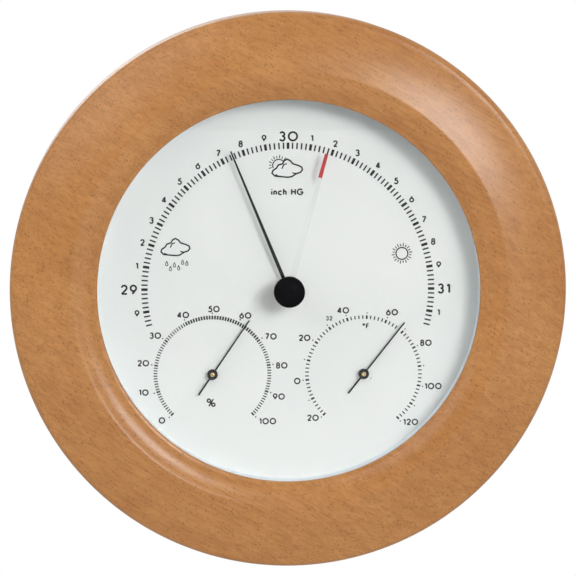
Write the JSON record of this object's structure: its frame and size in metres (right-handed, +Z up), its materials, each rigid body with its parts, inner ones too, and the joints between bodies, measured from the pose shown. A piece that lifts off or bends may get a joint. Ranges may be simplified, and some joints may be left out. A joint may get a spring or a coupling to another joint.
{
  "type": "wall barometer",
  "caption": "Round beech-cased wall weather dial: aneroid barometer with setting hand, small hygrometer and thermometer dials.",
  "frame": {"origin": "centre of the wooden ring's flat back on the wall plane, on the main dial's axis", "axes": "+Y into the wall, out of the flat back; the dial faces -Y; +Z up, towards the hanger and the 30 on the scale; +X to the viewer's right"},
  "size_m": [0.21, 0.0364, 0.21],
  "materials": {
    "beech": "satin lacquer on turned beech",
    "brass_plate": "brushed",
    "brass_turned": "turned",
    "black_plastic": "fine moulded texture",
    "steel_screw": "zinc plated",
    "window_glass": "clear float glass",
    "knob_black": "turned, gloss",
    "clear_acrylic": "clear acrylic",
    "red_paint": "gloss",
    "white_plastic": "satin",
    "dial_white": "satin enamel with black print",
    "capsule_bronze": "pressed beryllium bronze",
    "spring_steel": "blued",
    "hand_black": "matt",
    "humidity_strip": "gelatine-coated strip",
    "bimetal_strip": "rolled"
  },
  "bodies": {
    "case": {"capsule_front_shell": "capsule_bronze", "wood_case": "beech", "hanger_plate": "brass_plate", "hanger_screws": "brass_plate", "rear_cover": "black_plastic", "rear_cover_screws": "steel_screw", "dial_clips": "steel_screw", "dial_clip_screws": "steel_screw", "glass": "window_glass", "setting_bush": "brass_turned", "spacer_ring": "white_plastic", "dial_plate": "dial_white", "movement_back_plate": "brass_plate", "movement_front_plate": "brass_plate", "movement_pillars": "brass_turned", "pillar_nuts": "brass_turned", "centre_tube": "brass_turned", "centre_nut": "brass_turned", "movement_bridge": "brass_plate", "bridge_posts": "brass_turned", "capsule_rear_shell": "capsule_bronze", "capsule_leaf_spring": "spring_steel", "rocker_bearings": "brass_plate", "hairspring_stud": "brass_turned", "hygrometer_frame": "brass_plate", "hygrometer_rivets": "brass_turned", "thermometer_frame": "brass_plate", "thermometer_rivets": "brass_turned"},
    "setting_pointer": {"setting_knob": "knob_black", "setting_washer": "steel_screw", "setting_spindle": "brass_turned", "setting_hand": "clear_acrylic", "setting_hand_tip": "red_paint"},
    "barometer_pointer": {"barometer_hand": "hand_black", "barometer_arbor": "steel_screw", "barometer_pinion": "brass_turned", "hairspring": "spring_steel", "hairspring_collet": "brass_turned"},
    "sector": {"sector_gear": "brass_turned", "sector_arbor": "steel_screw"},
    "link": {"connecting_link": "spring_steel"},
    "rocker": {"rocker_shaft": "steel_screw"},
    "capsule_front": {"capsule_stem": "brass_turned"},
    "barometer_adjuster": {"adjusting_screw": "steel_screw"},
    "hygrometer_pointer": {"hygrometer_hand": "hand_black", "hygrometer_arbor": "brass_turned", "hygrometer_coil": "humidity_strip"},
    "hygrometer_adjuster": {"hygrometer_regulator": "brass_turned"},
    "thermometer_pointer": {"thermometer_hand": "hand_black", "thermometer_arbor": "brass_turned", "thermometer_coil": "bimetal_strip"},
    "thermometer_adjuster": {"thermometer_regulator": "brass_turned"}
  },
  "joints": [
    {"name": "barometer_hand_turn", "type": "hinge", "parent": "case", "child": "barometer_pointer", "pos_m": [0, -0.02, 0], "axis": [0, 1, 0], "range_deg": [-81.9, 126.9], "stiffness_Nm_per_rad": 0.005, "deforming": ["hairspring"]},
    {"name": "sector_turn", "type": "hinge", "parent": "case", "child": "sector", "pos_m": [-0.0162, -0.0148, 0], "axis": [0, 1, 0], "range_deg": [-16, 10.4]},
    {"name": "link_slide", "type": "slide", "parent": "case", "child": "link", "axis": [0, 0, 1], "range_m": [-0.00112, 0.00073]},
    {"name": "rocker_turn", "type": "hinge", "parent": "case", "child": "rocker", "pos_m": [0, -0.0134, 0.0144], "axis": [1, 0, 0], "range_deg": [-13.8, 21.3]},
    {"name": "capsule_breathe", "type": "slide", "parent": "case", "child": "capsule_front", "axis": [0, 1, 0], "range_m": [-0.00058, 0.0009], "deforming": ["capsule_front_shell"]},
    {"name": "setting_knob_turn", "type": "hinge", "parent": "case", "child": "setting_pointer", "pos_m": [0, -0.03, 0], "axis": [0, 1, 0], "continuous": true},
    {"name": "hygrometer_hand_turn", "type": "hinge", "parent": "case", "child": "hygrometer_pointer", "pos_m": [-0.0287, -0.02, -0.0323], "axis": [0, 1, 0], "range_deg": [-169.2, 100.8], "stiffness_Nm_per_rad": 0.002, "deforming": ["hygrometer_coil"]},
    {"name": "thermometer_hand_turn", "type": "hinge", "parent": "case", "child": "thermometer_pointer", "pos_m": [0.0287, -0.02, -0.0323], "axis": [0, 1, 0], "range_deg": [-174.5, 104.1], "stiffness_Nm_per_rad": 0.002, "deforming": ["thermometer_coil"]},
    {"name": "hygrometer_adjuster_turn", "type": "hinge", "parent": "case", "child": "hygrometer_adjuster", "pos_m": [-0.0287, -0.009, -0.0323], "axis": [0, 1, 0], "range_deg": [-20, 20]},
    {"name": "thermometer_adjuster_turn", "type": "hinge", "parent": "case", "child": "thermometer_adjuster", "pos_m": [0.0287, -0.009, -0.0323], "axis": [0, 1, 0], "range_deg": [-20, 20]},
    {"name": "barometer_adjuster_turn", "type": "hinge", "parent": "case", "child": "barometer_adjuster", "pos_m": [0, -0.005, 0.012], "axis": [0, 1, 0], "range_deg": [-180, 180]}
  ],
  "couplings": [
    {"joint": "sector_turn", "follows": "barometer_hand_turn", "ratio": -0.125},
    {"joint": "link_slide", "follows": "barometer_hand_turn", "m_per_rad": -0.0005},
    {"joint": "rocker_turn", "follows": "barometer_hand_turn", "ratio": 0.16667},
    {"joint": "capsule_breathe", "follows": "barometer_hand_turn", "m_per_rad": 0.0004}
  ]
}
